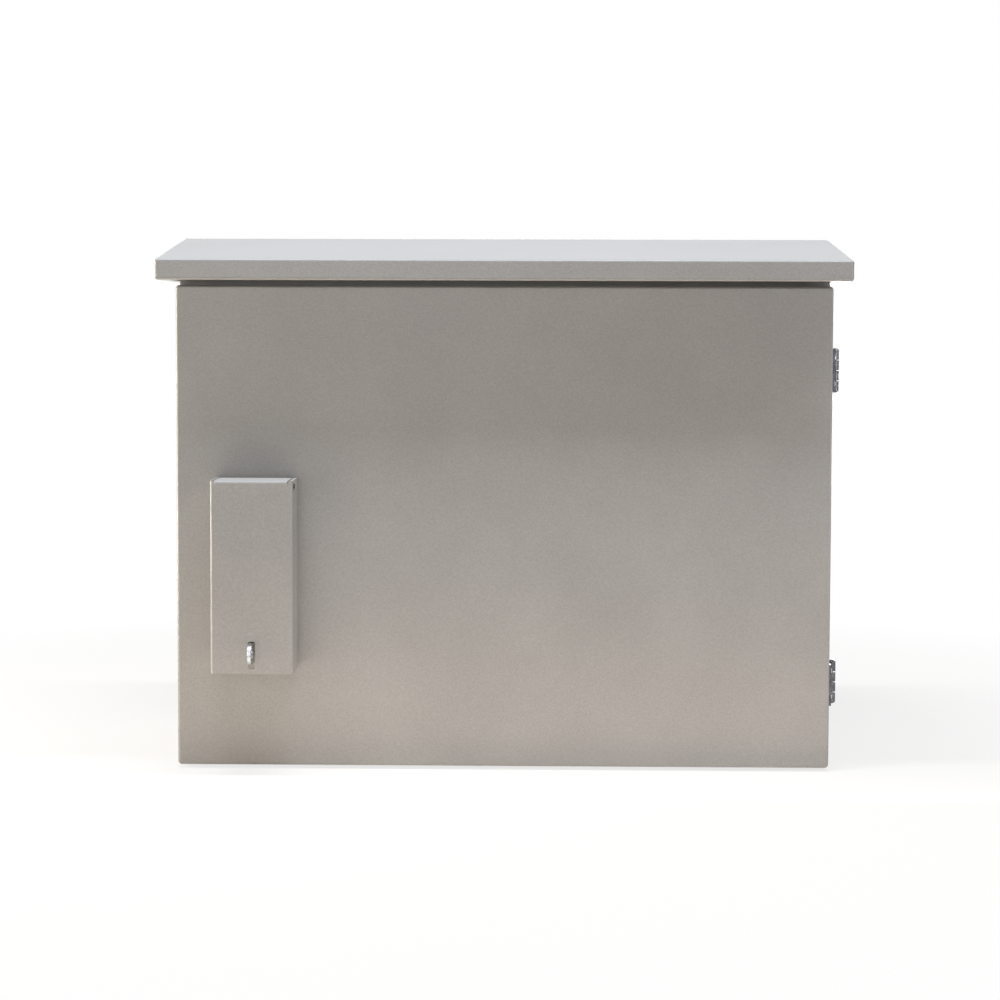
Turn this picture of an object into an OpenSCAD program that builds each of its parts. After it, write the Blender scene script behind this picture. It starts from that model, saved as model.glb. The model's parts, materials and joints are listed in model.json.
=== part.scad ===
// Roadside utility cabinet: a folded sheet-steel wall cabinet with a gabled rain canopy,
// a side-hung door and a padlockable cover over its lock.
// Millimetres, +Z up, the door faces -Y, the origin is the centre of the base's underside.

/* [Cabinet] */
// Width of the body and of the door
body_w = 600; // [570:1:660]
// Depth from the door's face to the back
overall_d = 278; // [270:1:320]
// Thickness of the folded sheet
sheet_t = 1.5; // [1.2:0.1:1.6]
// Outside radius of the body's four corner bends
body_r = 5; // [4.6:0.1:7]
// Outside radius of a sheet's ordinary bend
bend_r = 2.5; // [2.2:0.1:2.8]
// Height of the body above the door's top edge
body_rise = 13; // [12:0.5:15]
// Depth of the rear panel's flange
rear_flange = 15; // [12:1:18]

/* [Door] */
// Height of the door
door_h = 442; // [425:1:480]
// Height of the door's lower edge above the base
door_low = 3; // [2.5:0.1:4]
// Depth of the door's folded edge
door_depth = 25; // [24:0.5:27]
// Gap between the door's edge and the body
door_gap = 2; // [1.6:0.1:2.4]
// Radius of the door's corners
door_corner_r = 3.6; // [3.2:0.1:4.5]
// Width of the hem turned in behind the door's edge
hem_w = 10; // [8:0.5:11]
// Width of the stiffening channel's crown
stiff_w = 36; // [30:1:44]
// Depth of the stiffening channel
stiff_d = 10.5; // [9:0.5:11]
// Width of each of the channel's flanges
stiff_flange = 12; // [10:0.5:15]

/* [Front frame and seal] */
// Distance from the door's edge to the sealing lip
lip_inset = 20; // [19:0.5:22]
// How far the sealing lip stands forward
lip_len = 14; // [13:0.5:15]
// Outside radius of the lip's corners
lip_r = 8; // [7.5:0.5:12]
// Width of the foam seal
seal_w = 12; // [10:0.5:13]
// Running gap between the seal and the lip
seal_gap = 0.3; // [0.2:0.05:0.4]

/* [Canopy] */
// How far the canopy stands out past the body's sides
canopy_side = 14; // [13.5:0.5:24]
// How far the canopy stands out past the door's face and past the back
canopy_over = 30; // [26:1:36]
// Gap between the door's top edge and the canopy's fascia
canopy_gap = 4; // [3.5:0.5:7]
// Height of the fascia
fascia_h = 19; // [17:0.5:22]
// Rise from the fascia's top to the ridge
ridge_rise = 25; // [20:0.2:28]
// Width of the lip turned in under the fascia
return_w = 12; // [10:0.5:13]
// Distance from the body's sides to each bearer's web
bearer_x = 60; // [50:1:75]
// Half length of a bearer
bearer_half = 100; // [95:1:104]
// Thickness of the bearers
bearer_t = 2; // [1.8:0.1:2.4]
// Width of a bearer's flanges
bearer_flange = 26; // [24:0.5:30]
// Half spacing of a bearer's two bolts
bearer_bolt_y = 76; // [70:1:82]
// Half length of the gap between a bearer's two upper flanges
bearer_ridge = 14; // [12:1:18]

/* [Lock cover] */
// Distance from the door's left edge to the cover's centre
cover_edge = 74.5; // [72:0.5:90]
// Height of the cover's lower edge above the door's lower edge
cover_low = 92; // [85:0.5:110]
// Width of the cover
cover_w = 74; // [72:0.5:80]
// Height of the cover
cover_h = 174; // [168:1:178]
// How far the cover stands out from the door
cover_proud = 45; // [43:0.5:48]
// Gap between the cover's side walls and the door
flap_gap = 2; // [1.8:0.1:2.6]
// Gap between the cover's top flange and the door
top_gap = 4; // [3.6:0.1:6]
// Distance from the cover's face back to its pivot
pivot_back = 12.5; // [12:0.1:13.5]
// Distance from the cover's top down to its pivot
pivot_drop = 6.2; // [6:0.1:6.6]
// Radius of the pivot pins
pivot_r = 2; // [1.8:0.1:2.2]
// Radial clearance of the cover on its pivot pins
pivot_clear = 0.06; // [0.05:0.01:0.08]
// Side gap between the cover and its base
flap_side = 0.4; // [0.35:0.05:0.5]
// Thickness of the base's back plate and side walls
base_t = 1.5; // [1.4:0.1:1.6]
// Height of the base's low side walls above the door
base_wall = 12; // [10:0.5:14]
// Height of the base's lower end above the cover's lower edge
base_up = 8; // [6:0.5:10]
// Radius of the ear around each pivot pin
ear_r = 5.8; // [5.4:0.1:5.9]
// Gap left beside the cover's top flange
relief = 1; // [0.8:0.1:1.2]
// How far the pivot pins' heads stay short of the top flange
pin_short = 0.2; // [0.15:0.05:0.3]
// Half spacing of the base's rivets across
rivet_x = 24; // [22:0.5:26]
// Distance from the base's ends to its rivets
rivet_end = 14; // [13:0.5:16]

/* [Padlock eye] */
// Thickness of the eye plate
eye_t = 3; // [2.8:0.1:3.2]
// Height of the eye plate
eye_h = 19; // [18:0.5:19.5]
// How far the eye stands out of the cover's face
eye_out = 18; // [17:0.5:20]
// Radius of the hole for a padlock's shackle
eye_hole_r = 4.75; // [4.5:0.05:5]
// Width of the slot in the cover
slot_w = 6; // [5.6:0.1:6.6]
// Height of the slot in the cover
slot_h = 24.4; // [24:0.1:25.4]
// Height of the slot above the cover's lower edge
slot_low = 4.6; // [4.2:0.1:5]
// Gap between the eye's upper edge and the slot's
eye_gap = 0.9; // [0.8:0.1:1.2]

/* [Lock] */
// Height of the lock above the cover's lower edge
lock_up = 87.5; // [82:0.5:90]
// Radius of the lock housing's flange
lock_flange_r = 15; // [14:0.5:16]
// Thickness of the lock housing's flange
lock_flange_t = 4; // [3.5:0.1:4.5]
// Radius of the lock housing's barrel
lock_barrel_r = 11; // [10:0.5:11.5]
// Length of the barrel behind the door's sheet
lock_barrel_len = 10; // [9:0.5:10.5]
// Width of the lock nut across its flats
lock_nut_af = 30; // [28:0.5:32]
// Thickness of the lock nut
lock_nut_t = 5; // [4:0.5:6]
// Radius of the spindle
spindle_r = 5; // [4.6:0.1:5.4]
// Radial clearance of the spindle in its housing
spindle_clear = 0.06; // [0.05:0.01:0.08]
// Length of the handle's bar
handle_len = 60; // [54:1:62]
// Width of the handle's bar
handle_w = 12; // [11:0.5:14]
// Thickness of the handle's bar
handle_t = 9; // [8:0.5:10]
// Radius of the handle's hub
hub_r = 9; // [8.5:0.1:10]
// Length of the handle's hub under its bar
hub_len = 9; // [8:0.5:11]
// Length of the latch cam from the spindle's axis
cam_len = 66; // [63:0.5:67]
// Width of the latch cam
cam_w = 16; // [14:0.5:18]
// Thickness of the latch cam
cam_t = 3; // [2.6:0.1:3.4]
// Gap between the latch cam and the front frame
cam_gap = 0.8; // [0.6:0.1:1.2]
// Gap between the handle's hub and the lock housing
handle_gap = 0.3; // [0.2:0.05:0.5]
// Depth of the cam screw's hole in the spindle
cam_screw_len = 8; // [7:0.5:10]
// Wall left in the spindle round the cam's screw
cam_screw_wall = 1; // [0.9:0.05:1.2]
// How far the cam screw's head reaches past the spindle's end
cam_head_lap = 2.5; // [2.2:0.1:2.8]
// Height of the cam screw's head
cam_head_h = 3.2; // [3:0.1:3.4]
// How much thinner the spindle is where it carries the cam
spigot_step = 1.5; // [1.3:0.1:1.6]

/* [Hinges] */
// Distance from the door's ends to each hinge's centre
hinge_inset = 76.5; // [70:0.5:90]
// Length of a hinge
hinge_len = 38; // [36:0.5:42]
// Distance from the door's side to the hinge line
hinge_off = 5; // [4.8:0.1:5.5]
// Radius of a hinge's barrel
barrel_r = 4; // [3.8:0.1:4.2]
// Radius of a hinge's pin
hinge_pin_r = 1.9; // [1.8:0.05:2]
// Radial clearance of a hinge's pin
hinge_clear = 0.05; // [0.04:0.01:0.08]
// Gap between neighbouring knuckles
knuckle_gap = 0.6; // [0.4:0.05:0.8]
// Thickness of a hinge's leaves
leaf_t = 2; // [1.8:0.1:2.2]
// Width of a hinge's leaf from the hinge line
leaf_w = 23; // [22:0.5:23.5]
// Half spacing of a leaf's two screws
leaf_screw_z = 12; // [11:0.5:13]
// Height of the domed heads at a pin's ends
dome_h = 1.5; // [1.2:0.1:1.8]

/* [Inside] */
// Width of the mounting plate
plate_w = 490; // [470:1:500]
// Height of the mounting plate
plate_h = 360; // [340:1:370]
// Thickness of the mounting plate
plate_t = 2; // [1.6:0.1:3]
// Length of the standoffs behind the mounting plate
standoff_len = 18; // [15:0.5:22]
// Radius of the standoffs
standoff_r = 7.5; // [7:0.1:9]
// Distance from the mounting plate's edges to its studs
stud_edge = 15; // [14:0.5:20]
// Distance from the body's sides to the wall holes
wall_side = 30; // [26:0.5:33]
// Height of the lower wall holes, and the same distance below the body's top for the upper ones
wall_end = 36; // [32:0.5:42]
// Radius of the wall holes
wall_hole_r = 5; // [4.5:0.1:5.5]
// Width of the cable opening in the base
gland_w = 260; // [240:1:300]
// Depth of the cable opening in the base
gland_d = 70; // [60:1:72]
// Distance from the body's back to the middle of the cable opening
gland_y = 87; // [83:0.5:89]
// How far the gland plate laps over the opening on each side
gland_lap = 20; // [18:0.5:22]
// Thickness of the gland plate
gland_t = 2; // [1.6:0.1:3]
// Thickness of the gland plate's gasket
gasket_t = 2; // [1.5:0.1:3]
// Corner radius of the gland plate
gland_r = 8; // [6:0.5:10]

// Height of the earth stud above the lower wall hole
earth_up = 60; // [50:1:80]
// Clearance that the mounting plate keeps from the earth stud's washer
notch_gap = 2; // [1:0.5:4]
// Length of the earth stud
earth_len = 24; // [22:0.5:28]
// Distance from the sealing lip to the door's earth stud
door_earth_in = 30; // [26:0.5:34]
// Length of the door's earth stud
door_earth_len = 11; // [10:0.5:12]

/* [Fasteners] */
// Thread radius of the M8 studs
m8_r = 4; // [3.9:0.05:4.1]
// Thread radius of the M6 bolts
m6_r = 3; // [2.9:0.05:3.1]
// Thread radius of the M5 screws
m5_r = 2.5; // [2.4:0.05:2.6]
// Thread radius of the M4 screws
m4_r = 2; // [1.9:0.05:2.1]
// Radius of the rivets
rivet_r = 2; // [1.9:0.05:2.1]
// Radial clearance between a thread and its nut
thread_clear = 0.04; // [0.03:0.01:0.06]
// Radial clearance of a through hole
hole_clear = 0.3; // [0.2:0.05:0.4]
// Radial clearance of a piece pressed or screwed tight in its seat
seat_clear = 0.02; // [0.01:0.01:0.03]
// Length of thread showing past a nut
tail = 1.5; // [1:0.1:2]
// Gap between a pin's head and the sheet that turns on it
head_gap = 0.3; // [0.2:0.05:0.4]

/* [Hidden] */
$fn = 64;
cut = 1;
face_y = -overall_d / 2;
back_y = overall_d / 2;
front_y = face_y + door_depth + door_gap;
door_top = door_low + door_h;
door_mid = door_low + door_h / 2;
body_h = door_top + body_rise;
inner_r = body_r - sheet_t;
rim_back = front_y + sheet_t;
lip_w = body_w - 2 * lip_inset;
lip_h = door_h - 2 * lip_inset;
lip_y = front_y - lip_len;
skin_y = face_y + sheet_t;
seal_in_r = 1.2;

fascia_z = door_top + canopy_gap;
eave_z = fascia_z + fascia_h;
ridge_z = eave_z + ridge_rise;
canopy_w = body_w + 2 * canopy_side;
canopy_d = overall_d + 2 * canopy_over;
canopy_cx = canopy_w / 2 - bend_r;
canopy_cy = canopy_d / 2 - bend_r;
slope = atan(ridge_rise / canopy_cy);
canopy_corners = [
  [-canopy_cy, fascia_z + bend_r],
  [canopy_cy, fascia_z + bend_r],
  [-canopy_cy, eave_z - bend_r],
  [canopy_cy, eave_z - bend_r],
  [0, ridge_z - bend_r]
];
bearer_ft = bearer_t / cos(slope);
bearer_web = body_w / 2 - bearer_x;
bearer_bolt_x = bearer_web - bearer_flange / 2 - bearer_t / 2;
top_in = body_h - sheet_t;
m6_head_r = 5.77 * m6_r / 3;
m6_head_h = 4 * m6_r / 3;
m6_nut_h = 5 * m6_r / 3;
m6_washer_r = 6 * m6_r / 3;
m6_washer_t = 1.6 * m6_r / 3;
m8_nut_r = 7.5 * m8_r / 4;
m8_nut_h = 6.5 * m8_r / 4;
m8_washer_r = 8 * m8_r / 4;
m8_washer_t = 1.6 * m8_r / 4;
m5_head_r = 4.6 * m5_r / 2.5;
m5_head_h = 2.8 * m5_r / 2.5;
m4_head_r = 3.6 * m4_r / 2;
m4_head_h = 1.9 * m4_r / 2;
m4_nut_r = 4 * m4_r / 2;
m4_nut_h = 3.2 * m4_r / 2;

cover_x = -body_w / 2 + cover_edge;
cover_z0 = door_low + cover_low;
cover_z1 = cover_z0 + cover_h;
cover_y = face_y - cover_proud;
pivot_y = cover_y + pivot_back;
pivot_z = cover_z1 - pivot_drop;
flap_in = cover_w / 2 - sheet_t;
base_half = flap_in - flap_side;
base_in = base_half - base_t;
top_half = base_in - relief;
base_y = face_y - base_t;
base_z0 = cover_z0 + base_up;
base_z1 = pivot_z + ear_r;
pin_tail = relief - pin_short;
eye_z = cover_z0 + slot_low + slot_h - eye_gap - eye_h / 2;
eye_y = cover_y - eye_out + eye_h / 2;

lock_z = cover_z0 + lock_up;
lock_face = base_y - lock_flange_t;
lock_len = lock_flange_t + base_t + sheet_t + lock_barrel_len;
hub_y = lock_face - handle_gap;
bar_y = hub_y - hub_len - handle_t;
cam_y = rim_back + cam_gap;
spigot_r = spindle_r - spigot_step;
cam_screw_r = spigot_r - cam_screw_wall;
cam_head_r = spigot_r + cam_head_lap;

hinge_x = body_w / 2 + hinge_off;
hinge_y = front_y - door_gap / 2;
hinge_zs = [door_low + hinge_inset, door_top - hinge_inset];
knuckle = hinge_len / 4;
leaf_end = barrel_r + knuckle_gap;
leaf_screw_y = (leaf_w + leaf_end) / 2;

plate_y = back_y - sheet_t - standoff_len - plate_t;
plate_z = body_h / 2;
stud_xs = [-plate_w / 2 + stud_edge, plate_w / 2 - stud_edge];
stud_zs = [plate_z - plate_h / 2 + stud_edge, plate_z + plate_h / 2 - stud_edge];
wall_xs = [-body_w / 2 + wall_side, body_w / 2 - wall_side];
wall_zs = [wall_end, body_h - wall_end];
gland_xs = [-gland_w / 2 - gland_lap / 2, 0, gland_w / 2 + gland_lap / 2];
gland_mid = back_y - gland_y;
gland_ys = [gland_mid - gland_d / 2 - gland_lap / 2, gland_mid + gland_d / 2 + gland_lap / 2];
gland_z = sheet_t + gasket_t;
tip_up = 0.2;
earth_x = body_w / 2 - wall_side;
earth_z = wall_end + earth_up;
door_earth_x = body_w / 2 - lip_inset - door_earth_in;
door_earth_z = door_low + lip_inset + door_earth_in;

paint = [0.62, 0.61, 0.58];
zinc = [0.74, 0.75, 0.77];
galv = [0.66, 0.68, 0.70];
foam = [0.13, 0.13, 0.14];

function under_z(y) = ridge_z - bend_r - abs(y) * ridge_rise / canopy_cy + (bend_r - sheet_t) / cos(slope);

module rrect(w, h, r) {
  square([w - 2 * r, h], center = true);
  square([w, h - 2 * r], center = true);
  for (sx = [-1, 1])
    for (sy = [-1, 1])
      translate([sx * (w / 2 - r), sy * (h / 2 - r)]) circle(r);
}

// A flat shape in X and Z, given depth along Y.
module slab_y(y0, len) {
  translate([0, y0 + len, 0]) rotate([90, 0, 0]) linear_extrude(len) children();
}

// A flat shape in Y and Z, given length along X.
module slab_x(x0, len) {
  translate([x0, 0, 0]) rotate([90, 0, 90]) linear_extrude(len) children();
}

module rod_x(x0, y, z, len, r) {
  translate([x0, y, z]) rotate([0, 90, 0]) cylinder(r = r, h = len);
}

module rod_y(x, y0, z, len, r) {
  translate([x, y0, z]) rotate([-90, 0, 0]) cylinder(r = r, h = len);
}

module rod_z(x, y, z0, len, r) {
  translate([x, y, z0]) cylinder(r = r, h = len);
}

// A quarter of a bend, from a flat piece below the centre to a flange beside it.
module bend(r, t) {
  intersection() {
    difference() {
      circle(r);
      circle(r - t);
    }
    translate([0, -r]) square([r, r]);
  }
}

// The section through a tray's edge: the skin, its bend and its flange.
module edge_section(depth, t, rb, rc) {
  square([rc - rb, t]);
  translate([rc - rb, rb]) bend(rb, t);
  translate([rc - t, rb]) square([t, depth - rb]);
}

// A sheet folded back on all four sides, its corners welded and ground round.
module tray(w, h, depth, t, rb, rc) {
  translate([-w / 2 + rc, -h / 2 + rc, 0]) cube([w - 2 * rc, h - 2 * rc, t]);
  for (a = [0, 180])
    rotate([0, 0, a]) {
      translate([w / 2 - rc, h / 2 - rc, 0])
        rotate([90, 0, 0]) linear_extrude(h - 2 * rc) edge_section(depth, t, rb, rc);
      translate([w / 2 - rc, h / 2 - rc, 0])
        rotate_extrude(angle = 90) edge_section(depth, t, rb, rc);
    }
  for (a = [90, 270])
    rotate([0, 0, a]) {
      translate([h / 2 - rc, w / 2 - rc, 0])
        rotate([90, 0, 0]) linear_extrude(w - 2 * rc) edge_section(depth, t, rb, rc);
      translate([h / 2 - rc, w / 2 - rc, 0])
        rotate_extrude(angle = 90) edge_section(depth, t, rb, rc);
    }
}

// A shallow dome of base radius a and height h.
module dome(a, h) {
  ball = (a * a + h * h) / (2 * h);
  intersection() {
    translate([0, 0, h - ball]) sphere(ball);
    translate([-a - cut, -a - cut, 0]) cube([2 * a + 2 * cut, 2 * a + 2 * cut, h + cut]);
  }
}

// A screw with a domed, socketed head standing on z = 0 and its thread below.
module pan_screw(r, len, head_r, head_h) {
  difference() {
    dome(head_r, head_h);
    translate([0, 0, head_h * 0.45]) cylinder(r = r * 0.75, h = head_h, $fn = 6);
  }
  translate([0, 0, -len]) cylinder(r = r, h = len);
}

module hex_nut(corner_r, h, bore) {
  difference() {
    cylinder(r = corner_r, h = h, $fn = 6);
    translate([0, 0, -cut]) cylinder(r = bore, h = h + 2 * cut);
  }
}

module washer(r, h, bore) {
  difference() {
    cylinder(r = r, h = h);
    translate([0, 0, -cut]) cylinder(r = bore, h = h + 2 * cut);
  }
}

module body_wrapper() {
  color(paint)
    difference() {
      slab_y(front_y, back_y - front_y)
        translate([0, body_h / 2])
          difference() {
            rrect(body_w, body_h, body_r);
            rrect(body_w - 2 * sheet_t, body_h - 2 * sheet_t, inner_r);
          }
      translate([0, gland_mid, -cut])
        linear_extrude(sheet_t + 2 * cut) rrect(gland_w, gland_d, gland_r);
      for (x = gland_xs)
        for (y = gland_ys)
          rod_z(x, y, -cut, sheet_t + 2 * cut, m5_r + thread_clear);
      for (x = [-bearer_bolt_x, bearer_bolt_x])
        for (y = [-bearer_bolt_y, bearer_bolt_y])
          rod_z(x, y, top_in - cut, sheet_t + 2 * cut, m6_r + hole_clear);
      for (z = hinge_zs)
        for (s = [-1, 1])
          rod_x(body_w / 2 - sheet_t - cut, hinge_y + leaf_screw_y, z + s * leaf_screw_z,
            sheet_t + 2 * cut, m4_r + hole_clear);
    }
}

module front_frame() {
  color(paint)
    difference() {
      union() {
        slab_y(front_y, sheet_t)
          translate([0, body_h / 2]) rrect(body_w - 2 * sheet_t, body_h - 2 * sheet_t, inner_r);
        slab_y(lip_y, lip_len)
          translate([0, door_mid]) rrect(lip_w, lip_h, lip_r);
      }
      slab_y(lip_y - cut, lip_len + sheet_t + 2 * cut)
        translate([0, door_mid]) rrect(lip_w - 2 * sheet_t, lip_h - 2 * sheet_t, lip_r - sheet_t);
    }
}

module rear_panel() {
  color(paint)
    difference() {
      translate([0, back_y, body_h / 2]) rotate([90, 0, 0])
        tray(body_w - 2 * sheet_t, body_h - 2 * sheet_t, rear_flange, sheet_t, bend_r, inner_r);
      for (x = wall_xs)
        for (z = wall_zs)
          rod_y(x, back_y - sheet_t - cut, z, sheet_t + 2 * cut, wall_hole_r);
    }
}

module canopy_form(r) {
  hull()
    for (x = [-canopy_cx, canopy_cx])
      for (p = canopy_corners)
        translate([x, p[0], p[1]]) sphere(r, $fn = 32);
}

module canopy() {
  color(paint)
    difference() {
      canopy_form(bend_r);
      canopy_form(bend_r - sheet_t);
      translate([-canopy_w / 2 + return_w, -canopy_d / 2 + return_w, fascia_z - cut])
        cube([canopy_w - 2 * return_w, canopy_d - 2 * return_w, bend_r + cut]);
    }
}

// A folded channel whose upper flanges lie along the canopy's two slopes.
module bearer() {
  difference() {
    union() {
      slab_x(bearer_web - bearer_t, bearer_t)
        polygon([
          [-bearer_half, body_h],
          [bearer_half, body_h],
          [bearer_half, under_z(bearer_half) - seat_clear],
          [bearer_ridge, under_z(bearer_ridge) - seat_clear],
          [-bearer_ridge, under_z(bearer_ridge) - seat_clear],
          [-bearer_half, under_z(bearer_half) - seat_clear]
        ]);
      translate([bearer_web - bearer_flange, -bearer_half, body_h])
        cube([bearer_flange, 2 * bearer_half, bearer_t]);
      for (s = [-1, 1])
        slab_x(bearer_web - bearer_flange, bearer_flange)
          polygon([
            [s * bearer_half, under_z(bearer_half) - seat_clear],
            [s * bearer_ridge, under_z(bearer_ridge) - seat_clear],
            [s * bearer_ridge, under_z(bearer_ridge) - seat_clear - bearer_ft],
            [s * bearer_half, under_z(bearer_half) - seat_clear - bearer_ft]
          ]);
    }
    for (y = [-bearer_bolt_y, bearer_bolt_y])
      rod_z(bearer_bolt_x, y, body_h - cut, bearer_t + 2 * cut, m6_r + hole_clear);
  }
}

module left_bearer() {
  color(galv) mirror([1, 0, 0]) bearer();
}

module right_bearer() {
  color(galv) bearer();
}

module at_canopy_bolts() {
  for (x = [-bearer_bolt_x, bearer_bolt_x])
    for (y = [-bearer_bolt_y, bearer_bolt_y])
      translate([x, y, top_in]) children();
}

module canopy_bolts() {
  color(zinc)
    at_canopy_bolts() {
      translate([0, 0, -m6_washer_t - m6_head_h]) cylinder(r = m6_head_r, h = m6_head_h, $fn = 6);
      translate([0, 0, -m6_washer_t])
        cylinder(r = m6_r, h = m6_washer_t + sheet_t + bearer_t + m6_nut_h + tail);
    }
}

module canopy_washers() {
  color(zinc)
    at_canopy_bolts() translate([0, 0, -m6_washer_t]) washer(m6_washer_r, m6_washer_t, m6_r + hole_clear);
}

module canopy_nuts() {
  color(zinc)
    at_canopy_bolts() translate([0, 0, sheet_t + bearer_t])
      hex_nut(m6_head_r, m6_nut_h, m6_r + thread_clear);
}

module gland_gasket() {
  color(foam)
    translate([0, gland_mid, sheet_t])
      difference() {
        linear_extrude(gasket_t)
          difference() {
            rrect(gland_w + 2 * gland_lap, gland_d + 2 * gland_lap, gland_r);
            rrect(gland_w, gland_d, gland_r);
          }
        for (x = gland_xs)
          for (y = gland_ys)
            translate([x, y - gland_mid, -cut]) cylinder(r = m5_r + hole_clear, h = gasket_t + 2 * cut);
      }
}

module gland_plate() {
  color(galv)
    difference() {
      translate([0, gland_mid, gland_z])
        linear_extrude(gland_t) rrect(gland_w + 2 * gland_lap, gland_d + 2 * gland_lap, gland_r);
      for (x = gland_xs)
        for (y = gland_ys)
          rod_z(x, y, gland_z - cut, gland_t + 2 * cut, m5_r + hole_clear);
    }
}

module gland_screws() {
  color(zinc)
    for (x = gland_xs)
      for (y = gland_ys)
        translate([x, y, gland_z + gland_t])
          pan_screw(m5_r, gland_t + gasket_t + sheet_t - tip_up, m5_head_r, m5_head_h);
}

module at_studs(y) {
  for (x = stud_xs)
    for (z = stud_zs)
      translate([x, y, z]) rotate([90, 0, 0]) children();
}

module plate_studs() {
  color(zinc)
    at_studs(back_y - sheet_t)
      cylinder(r = m8_r, h = standoff_len + plate_t + m8_washer_t + m8_nut_h + tail);
}

module plate_standoffs() {
  color(zinc) at_studs(back_y - sheet_t) washer(standoff_r, standoff_len, m8_r + hole_clear);
}

module mounting_plate() {
  color(galv)
    difference() {
      slab_y(plate_y, plate_t) translate([0, plate_z]) rrect(plate_w, plate_h, gland_r);
      for (x = stud_xs)
        for (z = stud_zs)
          rod_y(x, plate_y - cut, z, plate_t + 2 * cut, m8_r + hole_clear);
      rod_y(earth_x, plate_y - cut, earth_z, plate_t + 2 * cut, m8_washer_r + notch_gap);
    }
}

module plate_washers() {
  color(zinc) at_studs(plate_y) washer(m8_washer_r, m8_washer_t, m8_r + hole_clear);
}

module plate_nuts() {
  color(zinc)
    at_studs(plate_y - m8_washer_t) hex_nut(m8_nut_r, m8_nut_h, m8_r + thread_clear);
}

module earth_stud() {
  color(zinc)
    translate([earth_x, back_y - sheet_t, earth_z]) rotate([90, 0, 0]) cylinder(r = m8_r, h = earth_len);
}

module earth_washers() {
  color(zinc)
    translate([earth_x, back_y - sheet_t, earth_z]) rotate([90, 0, 0]) {
      translate([0, 0, m8_nut_h]) washer(m8_washer_r, m8_washer_t, m8_r + hole_clear);
    }
}

module earth_nuts() {
  color(zinc)
    translate([earth_x, back_y - sheet_t, earth_z]) rotate([90, 0, 0]) {
      hex_nut(m8_nut_r, m8_nut_h, m8_r + thread_clear);
      translate([0, 0, m8_nut_h + m8_washer_t]) hex_nut(m8_nut_r, m8_nut_h, m8_r + thread_clear);
    }
}

// One leaf with two of the four knuckles. s is 1 on the body and -1 on the door,
// and first is 0 or 1 for the knuckle that it starts with, from the bottom.
module leaf(s, first, z) {
  difference() {
    translate([0, 0, z - hinge_len / 2]) {
      translate([body_w / 2, min(hinge_y + s * leaf_w, hinge_y + s * leaf_end), 0])
        cube([leaf_t, leaf_w - leaf_end, hinge_len]);
      for (k = [first, first + 2]) {
        translate([body_w / 2, min(hinge_y + s * leaf_end, hinge_y), k * knuckle + knuckle_gap / 2])
          cube([leaf_t, leaf_end, knuckle - knuckle_gap]);
        translate([hinge_x, hinge_y, k * knuckle + knuckle_gap / 2])
          cylinder(r = barrel_r, h = knuckle - knuckle_gap);
      }
    }
    rod_z(hinge_x, hinge_y, z - hinge_len, 2 * hinge_len, hinge_pin_r + hinge_clear);
    for (d = [-1, 1])
      rod_x(body_w / 2 - cut, hinge_y + s * leaf_screw_y, z + d * leaf_screw_z,
        leaf_t + 2 * cut, m4_r + hole_clear);
  }
}

module upper_body_leaf() {
  color(zinc) leaf(1, 0, hinge_zs[1]);
}

module lower_body_leaf() {
  color(zinc) leaf(1, 0, hinge_zs[0]);
}

module upper_door_leaf() {
  color(zinc) leaf(-1, 1, hinge_zs[1]);
}

module lower_door_leaf() {
  color(zinc) leaf(-1, 1, hinge_zs[0]);
}

module hinge_pin(z) {
  translate([hinge_x, hinge_y, z]) {
    translate([0, 0, -hinge_len / 2]) cylinder(r = hinge_pin_r, h = hinge_len);
    for (a = [0, 180])
      rotate([a, 0, 0]) translate([0, 0, hinge_len / 2]) dome(barrel_r - hinge_clear, dome_h);
  }
}

module upper_hinge_pin() {
  color(zinc) hinge_pin(hinge_zs[1]);
}

module lower_hinge_pin() {
  color(zinc) hinge_pin(hinge_zs[0]);
}

module at_leaf_screws(s) {
  for (z = hinge_zs)
    for (d = [-1, 1])
      translate([body_w / 2, hinge_y + s * leaf_screw_y, z + d * leaf_screw_z]) rotate([0, 90, 0])
        children();
}

module leaf_screws(s) {
  at_leaf_screws(s) translate([0, 0, leaf_t])
    pan_screw(m4_r, leaf_t + sheet_t + m4_nut_h + tail, m4_head_r, m4_head_h);
}

module leaf_nuts(s) {
  at_leaf_screws(s) translate([0, 0, -sheet_t - m4_nut_h])
    hex_nut(m4_nut_r, m4_nut_h, m4_r + thread_clear);
}

module body_leaf_screws() {
  color(zinc) leaf_screws(1);
}

module body_leaf_nuts() {
  color(zinc) leaf_nuts(1);
}

module door_leaf_screws() {
  color(zinc) leaf_screws(-1);
}

module door_leaf_nuts() {
  color(zinc) leaf_nuts(-1);
}

module at_rivets() {
  for (x = [-rivet_x, rivet_x])
    for (z = [base_z0 + rivet_end, base_z1 - rivet_end])
      translate([cover_x + x, face_y, z]) rotate([90, 0, 0]) children();
}

module door_panel() {
  color(paint)
    difference() {
      union() {
        translate([0, face_y, door_mid]) mirror([0, 1, 0]) rotate([90, 0, 0])
          tray(body_w, door_h, door_depth, sheet_t, bend_r, door_corner_r);
        slab_y(face_y + door_depth - sheet_t, sheet_t)
          translate([0, door_mid])
            difference() {
              rrect(body_w - 2 * sheet_t, door_h - 2 * sheet_t, door_corner_r - sheet_t);
              rrect(body_w - 2 * hem_w, door_h - 2 * hem_w, door_corner_r - sheet_t);
            }
      }
      rod_y(cover_x, face_y - cut, lock_z, sheet_t + 2 * cut, lock_barrel_r + hole_clear);
      at_rivets() translate([0, 0, -sheet_t - cut])
        cylinder(r = rivet_r + thread_clear, h = sheet_t + 2 * cut);
      for (z = hinge_zs)
        for (d = [-1, 1])
          rod_x(body_w / 2 - sheet_t - cut, hinge_y - leaf_screw_y, z + d * leaf_screw_z,
            sheet_t + 2 * cut, m4_r + hole_clear);
    }
}

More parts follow.
